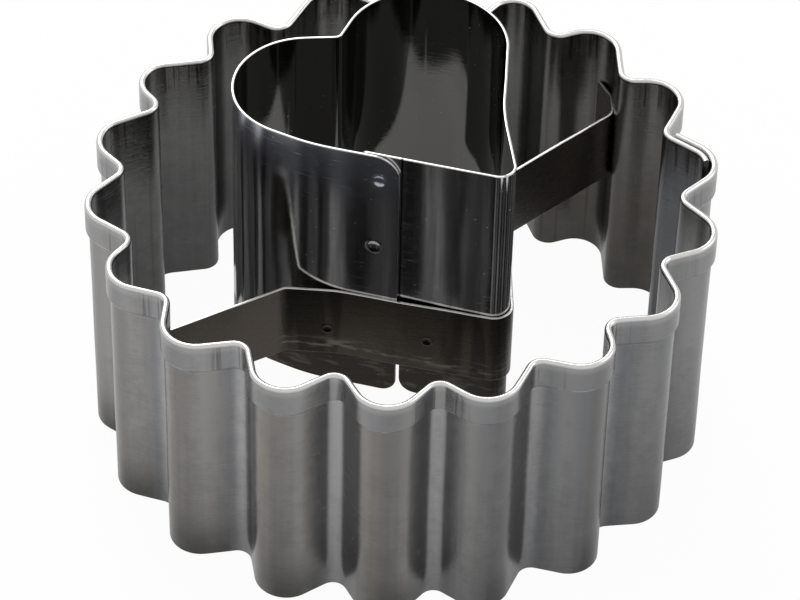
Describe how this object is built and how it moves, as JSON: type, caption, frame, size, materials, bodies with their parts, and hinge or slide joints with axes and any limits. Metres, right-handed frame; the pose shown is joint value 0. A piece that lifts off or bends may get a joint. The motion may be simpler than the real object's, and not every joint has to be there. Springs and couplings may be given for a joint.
{
  "type": "linzer cookie cutter",
  "caption": "Fluted ring cutter with a rolled rim, and a heart cutter that a welded strap holds inside it.",
  "frame": {"origin": "centre of the fluted ring, on the plane of its cutting edge", "axes": "+Z from the cutting edge up to the rolled rim; +X to the right and +Y away from the camera in the picture"},
  "size_m": [0.05, 0.0507, 0.0326],
  "materials": {
    "satin_steel": "satin rolled sheet",
    "bright_steel": "bright rolled sheet",
    "strap_steel": "dull rolled sheet with weld marks"
  },
  "bodies": {
    "root": {"outer_ring": "satin_steel", "heart_cutter": "bright_steel", "bridge_strap": "strap_steel"}
  },
  "joints": []
}
